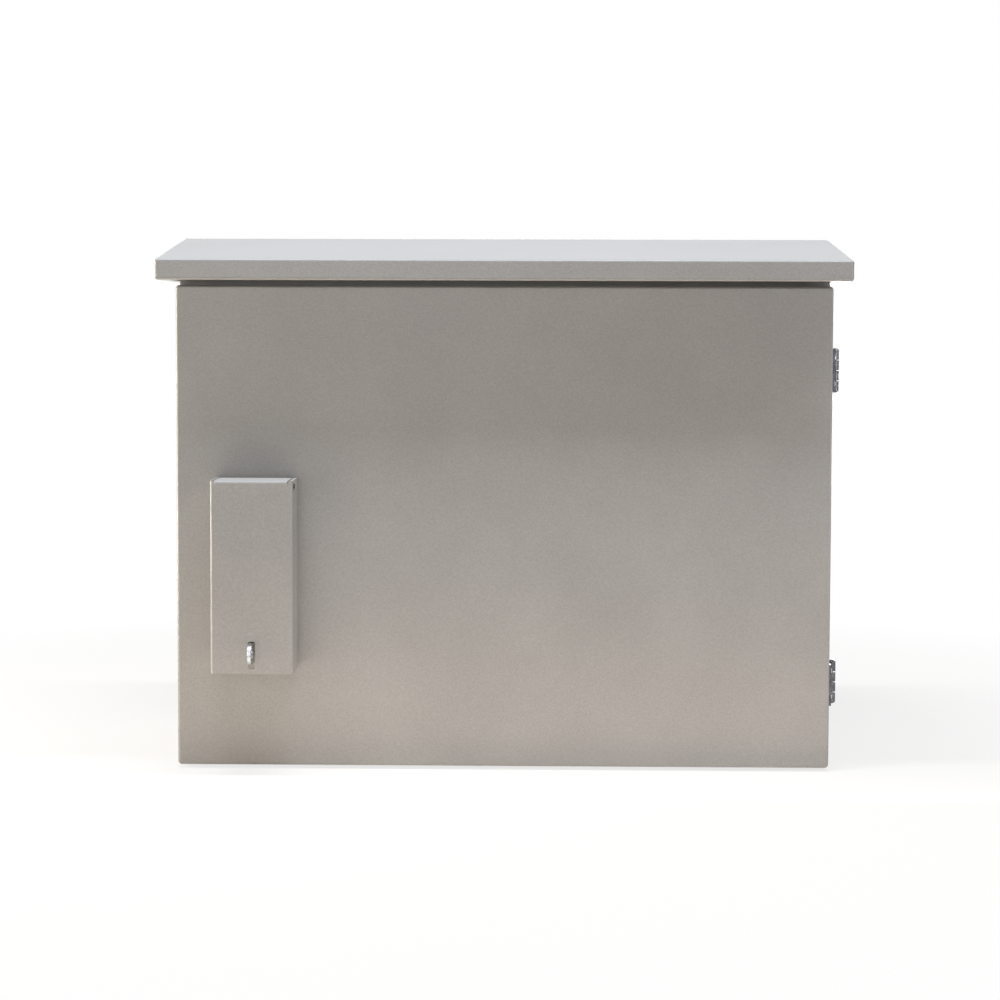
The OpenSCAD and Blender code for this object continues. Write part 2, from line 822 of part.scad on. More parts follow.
module door_stiffener() {
  color(galv)
    translate([0, skin_y, door_mid - lip_h / 2 + lip_inset])
      linear_extrude(lip_h - 2 * lip_inset) {
        for (s = [-1, 1]) {
          translate([s * (stiff_w + stiff_flange) / 2 - stiff_flange / 2, 0])
            square([stiff_flange, sheet_t]);
          translate([s * (stiff_w - sheet_t) / 2 - sheet_t / 2, 0]) square([sheet_t, stiff_d]);
        }
        translate([-stiff_w / 2, stiff_d - sheet_t]) square([stiff_w, sheet_t]);
      }
}

module door_seal() {
  color(foam)
    slab_y(skin_y, lip_y - seal_gap - skin_y)
      translate([0, door_mid])
        difference() {
          rrect(lip_w - sheet_t + seal_w, lip_h - sheet_t + seal_w, lip_r + seal_w / 2);
          rrect(lip_w - sheet_t - seal_w, lip_h - sheet_t - seal_w, seal_in_r);
        }
}

module at_door_earth() {
  translate([door_earth_x, skin_y, door_earth_z]) rotate([-90, 0, 0]) children();
}

module door_earth_stud() {
  color(zinc) at_door_earth() cylinder(r = m6_r, h = door_earth_len);
}

module door_earth_washers() {
  color(zinc) at_door_earth() washer(m6_washer_r, m6_washer_t, m6_r + hole_clear);
}

module door_earth_nut() {
  color(zinc)
    at_door_earth() translate([0, 0, m6_washer_t]) hex_nut(m6_head_r, m6_nut_h, m6_r + thread_clear);
}

module cover_base() {
  color(paint)
    difference() {
      union() {
        translate([cover_x - base_half, base_y, base_z0])
          cube([2 * base_half, base_t, base_z1 - base_z0]);
        for (x = [cover_x - base_half, cover_x + base_in]) {
          translate([x, face_y - base_wall, base_z0])
            cube([base_t, base_wall, base_z1 - base_z0]);
          translate([x, pivot_y, pivot_z - ear_r])
            cube([base_t, face_y - pivot_y, 2 * ear_r]);
          rod_x(x, pivot_y, pivot_z, base_t, ear_r);
        }
      }
      rod_x(cover_x - cover_w, pivot_y, pivot_z, 2 * cover_w, pivot_r + thread_clear);
      rod_y(cover_x, base_y - cut, lock_z, base_t + 2 * cut, lock_barrel_r + hole_clear);
      at_rivets() cylinder(r = rivet_r + thread_clear, h = 3 * base_t);
      at_rivets() translate([0, 0, -cut]) cylinder(r = rivet_r + thread_clear, h = 2 * cut);
    }
}

module cover_rivets() {
  color(zinc)
    at_rivets() {
      translate([0, 0, base_t]) dome(2 * rivet_r, 0.7 * rivet_r);
      translate([0, 0, -sheet_t]) cylinder(r = rivet_r, h = sheet_t + base_t);
      translate([0, 0, -sheet_t - tail]) cylinder(r = 1.5 * rivet_r, h = tail);
    }
}

module cover_pins() {
  color(zinc)
    for (s = [-1, 1])
      translate([cover_x + s * cover_w / 2, pivot_y, pivot_z]) rotate([0, s * 90, 0]) {
        translate([0, 0, head_gap]) dome(1.7 * pivot_r, 0.45 * pivot_r);
        translate([0, 0, -sheet_t - flap_side - base_t])
          cylinder(r = pivot_r, h = sheet_t + flap_side + base_t + head_gap);
        translate([0, 0, -sheet_t - flap_side - base_t - pin_tail])
          cylinder(r = 1.4 * pivot_r, h = pin_tail);
      }
}

module padlock_eye() {
  color(zinc)
    difference() {
      union() {
        translate([cover_x - eye_t / 2, eye_y, eye_z - eye_h / 2])
          cube([eye_t, base_y - eye_y, eye_h]);
        rod_x(cover_x - eye_t / 2, eye_y, eye_z, eye_t, eye_h / 2);
      }
      rod_x(cover_x - eye_t, eye_y, eye_z, 2 * eye_t, eye_hole_r);
    }
}

module lock_housing() {
  color(zinc)
    difference() {
      union() {
        rod_y(cover_x, lock_face, lock_z, lock_flange_t, lock_flange_r);
        rod_y(cover_x, base_y, lock_z, base_t + sheet_t + lock_barrel_len, lock_barrel_r);
      }
      rod_y(cover_x, lock_face - cut, lock_z, lock_len + 2 * cut, spindle_r + spindle_clear);
    }
}

module lock_nut() {
  color(zinc)
    translate([cover_x, skin_y, lock_z]) rotate([-90, 0, 0])
      hex_nut(lock_nut_af / 2 / cos(30), lock_nut_t, lock_barrel_r + thread_clear);
}

module flap_section() {
  translate([-cover_w / 2 + bend_r, 0]) square([cover_w - 2 * bend_r, sheet_t]);
  for (s = [0, 1])
    mirror([s, 0]) {
      translate([cover_w / 2 - bend_r, bend_r]) bend(bend_r, sheet_t);
      translate([cover_w / 2 - sheet_t, bend_r]) square([sheet_t, cover_proud - flap_gap - bend_r]);
    }
}

module cover_flap() {
  color(paint)
    difference() {
      union() {
        difference() {
          translate([cover_x, cover_y, cover_z0]) linear_extrude(cover_h) flap_section();
          translate([cover_x - base_in, cover_y - cut, cover_z1 - bend_r])
            cube([2 * base_in, bend_r + 2 * cut, bend_r + cut]);
        }
        slab_x(cover_x - top_half, 2 * top_half) {
          translate([cover_y + bend_r, cover_z1 - bend_r]) rotate([0, 0, 180]) bend(bend_r, sheet_t);
          translate([cover_y + bend_r, cover_z1 - sheet_t])
            square([cover_proud - top_gap - bend_r, sheet_t]);
        }
      }
      translate([cover_x - slot_w / 2, cover_y - cut, cover_z0 + slot_low])
        cube([slot_w, sheet_t + 2 * cut, slot_h]);
      rod_x(cover_x - cover_w, pivot_y, pivot_z, 2 * cover_w, pivot_r + pivot_clear);
    }
}

module lock_handle() {
  color(zinc)
    difference() {
      union() {
        slab_y(bar_y, handle_t) translate([cover_x, lock_z]) rrect(handle_w, handle_len, handle_w * 0.42);
        rod_y(cover_x, bar_y + handle_t, lock_z, hub_len, hub_r);
      }
      rod_y(cover_x, bar_y + handle_t, lock_z, hub_len + cut, spindle_r + seat_clear);
    }
}

module lock_spindle() {
  color(zinc)
    difference() {
      union() {
        rod_y(cover_x, bar_y + handle_t, lock_z, cam_y - bar_y - handle_t, spindle_r);
        rod_y(cover_x, cam_y, lock_z, cam_t, spigot_r);
      }
      rod_y(cover_x, cam_y - cam_screw_len, lock_z, cam_t + cam_screw_len + cut, cam_screw_r + seat_clear);
    }
}

module latch_cam() {
  color(zinc)
    difference() {
      union() {
        translate([cover_x - cam_w / 2, cam_y, lock_z - cam_len])
          cube([cam_w, cam_t, cam_len]);
        rod_y(cover_x, cam_y, lock_z, cam_t, cam_w / 2);
      }
      rod_y(cover_x, cam_y - cut, lock_z, cam_t + 2 * cut, spigot_r + seat_clear);
    }
}

module cam_screw() {
  color(zinc)
    translate([cover_x, cam_y + cam_t, lock_z]) rotate([-90, 0, 0])
      pan_screw(cam_screw_r, cam_t + cam_screw_len - cut, cam_head_r, cam_head_h);
}

body_wrapper();
front_frame();
rear_panel();
canopy();
left_bearer();
right_bearer();
canopy_bolts();
canopy_washers();
canopy_nuts();
gland_gasket();
gland_plate();
gland_screws();
plate_studs();
plate_standoffs();
mounting_plate();
plate_washers();
plate_nuts();
earth_stud();
earth_washers();
earth_nuts();
upper_body_leaf();
lower_body_leaf();
upper_hinge_pin();
lower_hinge_pin();
body_leaf_screws();
body_leaf_nuts();
door_panel();
door_stiffener();
door_seal();
door_earth_stud();
door_earth_washers();
door_earth_nut();
upper_door_leaf();
lower_door_leaf();
door_leaf_screws();
door_leaf_nuts();
cover_base();
cover_rivets();
cover_pins();
padlock_eye();
lock_housing();
lock_nut();
cover_flap();
lock_handle();
lock_spindle();
latch_cam();
cam_screw();
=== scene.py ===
import json
import math
import bpy
from mathutils import Matrix, Vector


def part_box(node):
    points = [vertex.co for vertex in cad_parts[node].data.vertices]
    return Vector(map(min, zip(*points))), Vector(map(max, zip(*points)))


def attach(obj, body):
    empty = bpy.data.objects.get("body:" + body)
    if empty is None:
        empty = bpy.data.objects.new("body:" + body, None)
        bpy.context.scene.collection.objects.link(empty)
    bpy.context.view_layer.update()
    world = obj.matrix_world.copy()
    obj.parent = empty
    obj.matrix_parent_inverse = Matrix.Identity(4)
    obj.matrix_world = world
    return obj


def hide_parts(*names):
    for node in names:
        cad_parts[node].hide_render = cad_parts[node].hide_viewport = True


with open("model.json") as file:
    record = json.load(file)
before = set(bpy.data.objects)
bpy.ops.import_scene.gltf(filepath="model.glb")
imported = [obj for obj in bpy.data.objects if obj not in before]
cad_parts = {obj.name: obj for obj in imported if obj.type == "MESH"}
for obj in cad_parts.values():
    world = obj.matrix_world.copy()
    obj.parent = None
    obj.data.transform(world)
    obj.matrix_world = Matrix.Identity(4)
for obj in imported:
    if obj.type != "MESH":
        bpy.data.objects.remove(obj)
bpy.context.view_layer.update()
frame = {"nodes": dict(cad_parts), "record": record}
scene = bpy.context.scene
scene.view_settings.view_transform = "Standard"
mm = 0.001
print("frame loaded:", len(frame["nodes"]), "pieces of sheet and hardware")


def linear(colour):
    # sRGB hex to the linear values that sockets take
    parts = [int(colour[i:i + 2], 16) / 255 for i in (1, 3, 5)]
    return tuple(c / 12.92 if c <= 0.04045 else ((c + 0.055) / 1.055) ** 2.4 for c in parts) + (1.0,)


def addNode(tree, kind, inputs=None, stops=(), **settings):
    # one node with its settings: each input takes a value, or is fed by a socket or a node's first output
    node = tree.nodes.new(kind)
    for name, value in settings.items():
        setattr(node, name, value)
    for name, value in (inputs or {}).items():
        if isinstance(value, bpy.types.Node):
            value = next(s for s in value.outputs if s.enabled)
        if isinstance(value, bpy.types.NodeSocket):
            tree.links.new(value, node.inputs[name])
        else:
            node.inputs[name].default_value = value
    for i, (position, colour) in enumerate(stops):  # colour ramp
        elements = node.color_ramp.elements
        element = elements[i] if i < len(elements) else elements.new(position)
        element.position, element.color = position, linear(colour)
    return node


def newMaterial(name):
    # an empty material, and the place on the piece in metres
    material = bpy.data.materials.new(name)
    material.use_nodes = True
    tree = material.node_tree
    tree.nodes.clear()
    return material, tree, addNode(tree, "ShaderNodeTexCoord").outputs["Object"]


# Polyester powder coat, sprayed dry and baked on steel sheet: a warm grey skin with a soft satin gloss,
# a slight orange peel, faint clouds in the tone, and a lighter, matt film on faces that look up: dust, with
# painted light from above in its tone.
powder = {
    "tone": ((0.25, "#96938e"), (0.5, "#a09d98"), (0.75, "#aaa7a2")),
    "roughness": (0.16, 0.26),
    "ior": 1.5,
    "cloudMm": 90,
    "grainMm": 1.4,         # the real grain is about 0.1 mm: drawn coarser so that it shows
    "grainShare": 0.6,      # the rest of the tone's change is cloud
    "peelMm": 2.2,          # the real peel is nearer 1 mm: drawn coarser so that it shows
    "peelDepthMm": 0.02,
    "peelStrength": 0.5,
    "edgeMm": 0.7,          # soft edge that the coat's own thickness gives
    "edgeSamples": 6,
    # lighter than the coat: partly dust, partly painted light on faces that look up
    "dustAndTopLight": "#b4b2ae",
    "dustRoughness": 0.85,
    "dustAndTopLightFrom": 0.3,        # how far up a face looks where the dust and painted top light begin
    "dustAndTopLightShare": 0.5,       # how much of a level face it covers
}


def powderCoat():
    material, tree, place = newMaterial("powderCoatedSteel")
    cloud = addNode(tree, "ShaderNodeTexNoise", {
        "Vector": place, "Scale": 1 / (powder["cloudMm"] * mm), "Detail": 3.0})
    grain = addNode(tree, "ShaderNodeTexNoise", {
        "Vector": place, "Scale": 1 / (powder["grainMm"] * mm), "Detail": 1.0})
    blend = addNode(tree, "ShaderNodeMix", {"Factor": powder["grainShare"], "A": cloud, "B": grain})
    coat = addNode(tree, "ShaderNodeValToRGB", {"Fac": blend}, powder["tone"])
    gloss = addNode(tree, "ShaderNodeMapRange", {
        "Value": blend, "To Min": powder["roughness"][0], "To Max": powder["roughness"][1]})
    # dust settles where the sheet faces up, and its lighter tone also paints in the light that falls from
    # above
    normal = addNode(tree, "ShaderNodeNewGeometry").outputs["Normal"]
    upward = addNode(tree, "ShaderNodeSeparateXYZ", {"Vector": normal}).outputs["Z"]
    dustAndTopLightMask = addNode(tree, "ShaderNodeMapRange", {
        "Value": upward, "From Min": powder["dustAndTopLightFrom"], "To Max": powder["dustAndTopLightShare"]})
    dustAndTopLitCoat = addNode(tree, "ShaderNodeMix", {"Factor": dustAndTopLightMask, "A": coat, "B": linear(powder["dustAndTopLight"])},
                    data_type="RGBA")
    dulled = addNode(tree, "ShaderNodeMix", {"Factor": dustAndTopLightMask, "A": gloss, "B": powder["dustRoughness"]})
    peel = addNode(tree, "ShaderNodeTexNoise", {
        "Vector": place, "Scale": 1 / (powder["peelMm"] * mm), "Detail": 2.0})
    edge = addNode(tree, "ShaderNodeBevel", {"Radius": powder["edgeMm"] * mm},
                   samples=powder["edgeSamples"])
    bump = addNode(tree, "ShaderNodeBump", {
        "Height": peel, "Normal": edge, "Strength": powder["peelStrength"],
        "Distance": powder["peelDepthMm"] * mm})
    shader = addNode(tree, "ShaderNodeBsdfPrincipled", {
        "Base Color": dustAndTopLitCoat, "Roughness": dulled, "Normal": bump, "IOR": powder["ior"]})
    addNode(tree, "ShaderNodeOutputMaterial", {"Surface": shader})
    return material


# Bright zinc plate on turned and pressed steel: a cool silver with a faint cloudy bloom and fine rolling
# lines, so that it mirrors the pale room in soft streaks.
zinc = {
    "tone": ((0.3, "#b9bcbf"), (0.7, "#d3d5d6")),
    "roughness": (0.20, 0.36),
    "bloomMm": 5,
    "lineMm": 0.6,          # real lines are under 0.1 mm: drawn coarser so that they show
    "lineStretch": 0.06,
    "lineDepthMm": 0.004,
    "lineStrength": 0.4,
    "edgeMm": 0.35,
    "edgeSamples": 6,
}

# Plated steel on the pressed butt hinges: the same rolling lines under a darker, greyer shine.
# The darker tone is painted reflection: it stands in for the dark surroundings that the hinges mirror.
hingePlatePaintedDark = dict(zinc, tone=((0.3, "#4c4d50"), (0.7, "#707175")), roughness=(0.2, 0.32))


def platedSteel(name, plating):
    material, tree, place = newMaterial(name)
    bloom = addNode(tree, "ShaderNodeTexNoise", {
        "Vector": place, "Scale": 1 / (plating["bloomMm"] * mm), "Detail": 4.0})
    colour = addNode(tree, "ShaderNodeValToRGB", {"Fac": bloom}, plating["tone"])
    gloss = addNode(tree, "ShaderNodeMapRange", {
        "Value": bloom, "From Min": plating["tone"][0][0], "From Max": plating["tone"][1][0],
        "To Min": plating["roughness"][0], "To Max": plating["roughness"][1]})
    stretch = addNode(tree, "ShaderNodeMapping", {
        "Vector": place, "Scale": (1.0, 1.0, plating["lineStretch"])})
    lines = addNode(tree, "ShaderNodeTexNoise", {
        "Vector": stretch, "Scale": 1 / (plating["lineMm"] * mm), "Detail": 2.0})
    edge = addNode(tree, "ShaderNodeBevel", {"Radius": plating["edgeMm"] * mm},
                   samples=plating["edgeSamples"])
    bump = addNode(tree, "ShaderNodeBump", {
        "Height": lines, "Normal": edge, "Strength": plating["lineStrength"],
        "Distance": plating["lineDepthMm"] * mm})
    shader = addNode(tree, "ShaderNodeBsdfPrincipled", {
        "Base Color": colour, "Roughness": gloss, "Normal": bump, "Metallic": 1.0})
    addNode(tree, "ShaderNodeOutputMaterial", {"Surface": shader})
    return material


# Hot-dip galvanised sheet: grey zinc crystals, each flake with its own tone and gloss.
galvanised = {
    "tone": ((0.0, "#8f9599"), (0.5, "#a7acb0"), (1.0, "#bcc1c4")),
    "roughness": (0.34, 0.52),
    "spangleMm": 9,
    "warpMm": 2.5,          # how far the flakes' edges wander
}


def galvanisedSheet():
    material, tree, place = newMaterial("galvanisedSteel")
    scale = 1 / (galvanised["spangleMm"] * mm)
    warp = addNode(tree, "ShaderNodeTexNoise", {"Vector": place, "Scale": scale, "Detail": 2.0})
    shifted = addNode(tree, "ShaderNodeVectorMath", {
        0: warp.outputs["Color"], 1: (galvanised["warpMm"] * mm,) * 3, 2: place}, operation="MULTIPLY_ADD")
    flakes = addNode(tree, "ShaderNodeTexVoronoi", {"Vector": shifted, "Scale": scale})
    flake = addNode(tree, "ShaderNodeSeparateColor", {"Color": flakes.outputs["Color"]}).outputs["Red"]
    colour = addNode(tree, "ShaderNodeValToRGB", {"Fac": flake}, galvanised["tone"])
    gloss = addNode(tree, "ShaderNodeMapRange", {
        "Value": flake, "To Min": galvanised["roughness"][0], "To Max": galvanised["roughness"][1]})
    shader = addNode(tree, "ShaderNodeBsdfPrincipled", {
        "Base Color": colour, "Roughness": gloss, "Metallic": 1.0})
    addNode(tree, "ShaderNodeOutputMaterial", {"Surface": shader})
    return material


# Poured polyurethane foam: matt charcoal with a skin of small closed cells.
foam = {
    "tone": ((0.1, "#232325"), (0.8, "#313134")),
    "roughness": 0.92,
    "cellMm": 1.2,          # real cells are about 0.4 mm: drawn coarser so that they show
    "cellDepthMm": 0.12,
    "cellStrength": 0.6,
}


def pouredFoam():
    material, tree, place = newMaterial("polyurethaneFoam")
    cells = addNode(tree, "ShaderNodeTexVoronoi", {"Vector": place, "Scale": 1 / (foam["cellMm"] * mm)})
    colour = addNode(tree, "ShaderNodeValToRGB", {"Fac": cells}, foam["tone"])
    bump = addNode(tree, "ShaderNodeBump", {
        "Height": cells, "Strength": foam["cellStrength"], "Distance": foam["cellDepthMm"] * mm})
    shader = addNode(tree, "ShaderNodeBsdfPrincipled", {
        "Base Color": colour, "Roughness": foam["roughness"], "Normal": bump})
    addNode(tree, "ShaderNodeOutputMaterial", {"Surface": shader})
    return material


def dress(node, finish):
    for slot in frame["nodes"][node].material_slots:
        slot.material = finish


finishes = {
    "powder_coat": powderCoat(),
    "galvanised_sheet": galvanisedSheet(),
    "zinc_plate": platedSteel("zincPlatedSteel", zinc),
    "foam": pouredFoam(),
}
for part in frame["record"]["subparts"]:
    dress(part["node"], finishes[part["material_slot"]])
# the hinges' darker tone is painted reflection of dark surroundings
hingePaintedDarkFinish = platedSteel("hingeSteelPaintedDark", hingePlatePaintedDark)
for hinge in ("upper_body_leaf", "upper_door_leaf", "upper_hinge_pin",
              "lower_body_leaf", "lower_door_leaf", "lower_hinge_pin", "cover_pins"):
    dress(hinge, hingePaintedDarkFinish)
print("finishes set:", ", ".join(sorted(m.name for m in [*finishes.values(), hingePaintedDarkFinish])))


def newTree(name, **sizes):
    # a Geometry Nodes tree with one geometry in and out, and its named inputs
    tree = bpy.data.node_groups.new(name, "GeometryNodeTree")
    tree.interface.new_socket("Geometry", in_out="INPUT", socket_type="NodeSocketGeometry")
    tree.interface.new_socket("Geometry", in_out="OUTPUT", socket_type="NodeSocketGeometry")
    for size, kind in sizes.items():
        tree.interface.new_socket(size, in_out="INPUT", socket_type="NodeSocket" + kind)
    return tree, addNode(tree, "NodeGroupInput").outputs


def endTree(tree, given, geometry):
    real = addNode(tree, "GeometryNodeRealizeInstances", {"Geometry": geometry})
    coated = addNode(tree, "GeometryNodeSetMaterial", {"Geometry": real, "Material": given["Material"]})
    addNode(tree, "NodeGroupOutput", {"Geometry": coated})
    return tree


def grow(name, tree, points, sizes, body, slot, replaced=(), facings=()):
    # runs a tree on a few points and keeps the plain mesh that it makes
    seed = bpy.data.meshes.new(name + "Seed")
    seed.from_pydata([tuple(p) for p in points], [], [])
    if facings:
        facing = seed.attributes.new("facing", "FLOAT_VECTOR", "POINT")
        facing.data.foreach_set("vector", [v for f in facings for v in f])
    carrier = bpy.data.objects.new(name + "Seed", seed)
    scene.collection.objects.link(carrier)
    modifier = carrier.modifiers.new(name, "NODES")
    modifier.node_group = tree
    sockets = {s.name: s.identifier for s in tree.interface.items_tree if s.in_out == "INPUT"}
    for size, value in sizes.items():
        modifier[sockets[size]] = value
    modifier[sockets["Material"]] = finishes[slot]
    bpy.context.view_layer.update()
    ready = carrier.evaluated_get(bpy.context.evaluated_depsgraph_get())
    mesh = bpy.data.meshes.new_from_object(ready)
    bpy.data.objects.remove(carrier)
    mesh.name = name
    piece = bpy.data.objects.new(name, mesh)
    scene.collection.objects.link(piece)
    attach(piece, body)
    if replaced:
        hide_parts(*replaced)


# Foam bead round the door: a half-round section poured on the skin along the sealing lip
bead = {
    "width": 12 * mm,
    "corner": 7.25 * mm,
    "cornerSteps": 12,
    "crownShare": 0.65,     # how much of the height is round
    "sectionSteps": 28,
}


def beadTree():
    tree, given = newTree("pouredBead", Width="Float", Height="Float", Thick="Float", Rise="Float",
                          Corner="Float", Middle="Vector", Turn="Vector", Material="Material")
    path = addNode(tree, "GeometryNodeCurvePrimitiveQuadrilateral", {
        "Width": given["Width"], "Height": given["Height"]}, mode="RECTANGLE")
    rounded = addNode(tree, "GeometryNodeFilletCurve", {
        "Curve": path, "Count": bead["cornerSteps"], "Radius": given["Corner"]}, mode="POLY")
    upright = addNode(tree, "GeometryNodeSetCurveNormal", {"Curve": rounded}, mode="Z_UP")
    ring = addNode(tree, "GeometryNodeCurvePrimitiveCircle", {
        "Resolution": bead["sectionSteps"], "Radius": 0.5})
    # the ring is raised, cut flat at its foot and brought to size
    spot = addNode(tree, "GeometryNodeInputPosition")
    raised = addNode(tree, "ShaderNodeVectorMath", {
        0: spot, 1: (1.0, 2 * bead["crownShare"], 0.0), 2: (0.0, 1 - bead["crownShare"], 0.0)},
        operation="MULTIPLY_ADD")
    cut = addNode(tree, "ShaderNodeVectorMath", {0: raised, 1: (-1.0, 0.0, 0.0)}, operation="MAXIMUM")
    size = addNode(tree, "ShaderNodeCombineXYZ", {"X": given["Thick"], "Y": given["Rise"]})
    section = addNode(tree, "ShaderNodeVectorMath", {0: cut, 1: size}, operation="MULTIPLY")
    profile = addNode(tree, "GeometryNodeSetPosition", {"Geometry": ring, "Position": section})
    swept = addNode(tree, "GeometryNodeCurveToMesh", {"Curve": upright, "Profile Curve": profile})
    stood = addNode(tree, "GeometryNodeTransform", {
        "Geometry": swept, "Translation": given["Middle"], "Rotation": given["Turn"]})
    smooth = addNode(tree, "GeometryNodeSetShadeSmooth", {"Geometry": stood})
    return endTree(tree, given, smooth)


poured = beadTree()
low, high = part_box("door_seal")
grow("doorSealBead", poured, [(0, 0, 0)], {
    "Width": high.x - low.x - bead["width"], "Height": high.z - low.z - bead["width"],
    "Thick": bead["width"], "Rise": high.y - low.y, "Corner": bead["corner"],
    "Middle": ((low.x + high.x) / 2, low.y, (low.z + high.z) / 2),
    "Turn": (math.radians(90), 0, 0)}, "door", "foam", ["door_seal"])
print("door seal poured")

# Fillet weld round the foot of the padlock eye, laid with the same tree
eyeWeld = {"thick": 3.2 * mm, "rise": 1.6 * mm, "corner": 0.6 * mm, "baseSheet": 1.5 * mm}
low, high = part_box("padlock_eye")
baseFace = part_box("cover_base")[1].y - eyeWeld["baseSheet"]
grow("padlockEyeWeld", poured, [(0, 0, 0)], {
    "Width": high.x - low.x, "Height": high.z - low.z,
    "Thick": eyeWeld["thick"], "Rise": eyeWeld["rise"], "Corner": eyeWeld["corner"],
    "Middle": ((low.x + high.x) / 2, baseFace, (low.z + high.z) / 2),
    "Turn": (math.radians(-90), 0, 0)}, "door", "zinc_plate")
print("padlock eye welded to its base")


# Spot welds down the body's sides: shallow rings that the electrodes leave in the sheet, still to be seen
# under the coat
spotWelds = {
    "radius": 3.6 * mm,
    "rim": 0.34 * mm,       # the real rim is about 0.1 mm: drawn higher so that it shows
    "rimAt": 0.7,           # shares of the radius
    "rimWidth": 0.17,
    "edgeAt": 0.99,
    "edgeDip": -0.4,        # shares of the rim's height
    "flat": 0.08,
    "sides": 24,
    "rings": 10,
    # depth and heights of each row
    "rows": ((0.131, (0.03, 0.096, 0.162, 0.229, 0.296, 0.362, 0.428)),
             (-0.101, (0.03, 0.13, 0.18, 0.229, 0.28, 0.33, 0.428))),
}


def spotTree():
    tree, given = newTree("spotWelds", Radius="Float", Rim="Float", Material="Material")
    disc = addNode(tree, "GeometryNodeMeshCone", {
        "Vertices": spotWelds["sides"], "Side Segments": spotWelds["rings"], "Radius Top": 0.0,
        "Radius Bottom": given["Radius"], "Depth": mm}, fill_type="NONE")
    spot = addNode(tree, "GeometryNodeInputPosition")
    flat = addNode(tree, "ShaderNodeVectorMath", {0: spot, 1: (1.0, 1.0, 0.0)}, operation="MULTIPLY")
    out = addNode(tree, "ShaderNodeVectorMath", {0: flat}, operation="LENGTH")
    share = addNode(tree, "ShaderNodeMath", {0: out, 1: given["Radius"]}, operation="DIVIDE")
    rim = share
    for operation, value in (("SUBTRACT", spotWelds["rimAt"]), ("DIVIDE", spotWelds["rimWidth"]),
                             ("POWER", 2.0), ("MULTIPLY", -1.0)):
        rim = addNode(tree, "ShaderNodeMath", {0: rim, 1: value}, operation=operation)
    rim = addNode(tree, "ShaderNodeMath", {0: rim}, operation="EXPONENT")
    # the outer edge dips just under the sheet, so that no gap shows
    edge = addNode(tree, "ShaderNodeMath", {0: share, 1: spotWelds["edgeAt"]}, operation="GREATER_THAN")
    dipped = addNode(tree, "ShaderNodeMath", {0: edge, 1: spotWelds["edgeDip"], 2: rim},
                     operation="MULTIPLY_ADD")
    raised = addNode(tree, "ShaderNodeMath", {0: dipped, 1: spotWelds["flat"]}, operation="ADD")
    lift = addNode(tree, "ShaderNodeMath", {0: raised, 1: given["Rim"]}, operation="MULTIPLY")
    upward = addNode(tree, "ShaderNodeCombineXYZ", {"Z": lift})
    shaped = addNode(tree, "GeometryNodeSetPosition", {
        "Geometry": disc, "Position": flat, "Offset": upward})
    soft = addNode(tree, "GeometryNodeSetShadeSmooth", {"Geometry": shaped})
    facing = addNode(tree, "GeometryNodeInputNamedAttribute", {"Name": "facing"}, data_type="FLOAT_VECTOR")
    turned = addNode(tree, "FunctionNodeAlignRotationToVector", {"Vector": facing}, axis="Z")
    spread = addNode(tree, "GeometryNodeInstanceOnPoints", {
        "Points": given["Geometry"], "Instance": soft, "Rotation": turned})
    return endTree(tree, given, spread)


wrapper = frame["nodes"]["body_wrapper"]
found = [wrapper.ray_cast(Vector((side, y, z)), Vector((-side, 0, 0)))
         for side in (-1, 1) for y, heights in spotWelds["rows"] for z in heights]
found = [(place, normal) for hit, place, normal, _ in found if hit]
grow("spotWeldMarks", spotTree(), [place for place, normal in found],
     {"Radius": spotWelds["radius"], "Rim": spotWelds["rim"]}, "cabinet", "powder_coat",
     facings=[normal for place, normal in found])
print("spot welds marked:", len(found))


# Rolled threads on the welded studs
studs = {
    "sides": 28,
    "stepsPerTurn": 6,
    "depthShare": 0.61,     # thread's depth as a share of its pitch
    "lead": 0.8 * mm,       # bevel at the tip
    # piece, node, body, radius, pitch, and -1 where the stud points to the front
    "rows": (("plateStudThreads", "plate_studs", "cabinet", 4 * mm, 1.25 * mm, -1),
             ("earthStudThread", "earth_stud", "cabinet", 4 * mm, 1.25 * mm, -1),
             ("doorEarthThread", "door_earth_stud", "door", 3 * mm, 1.0 * mm, 1)),
}


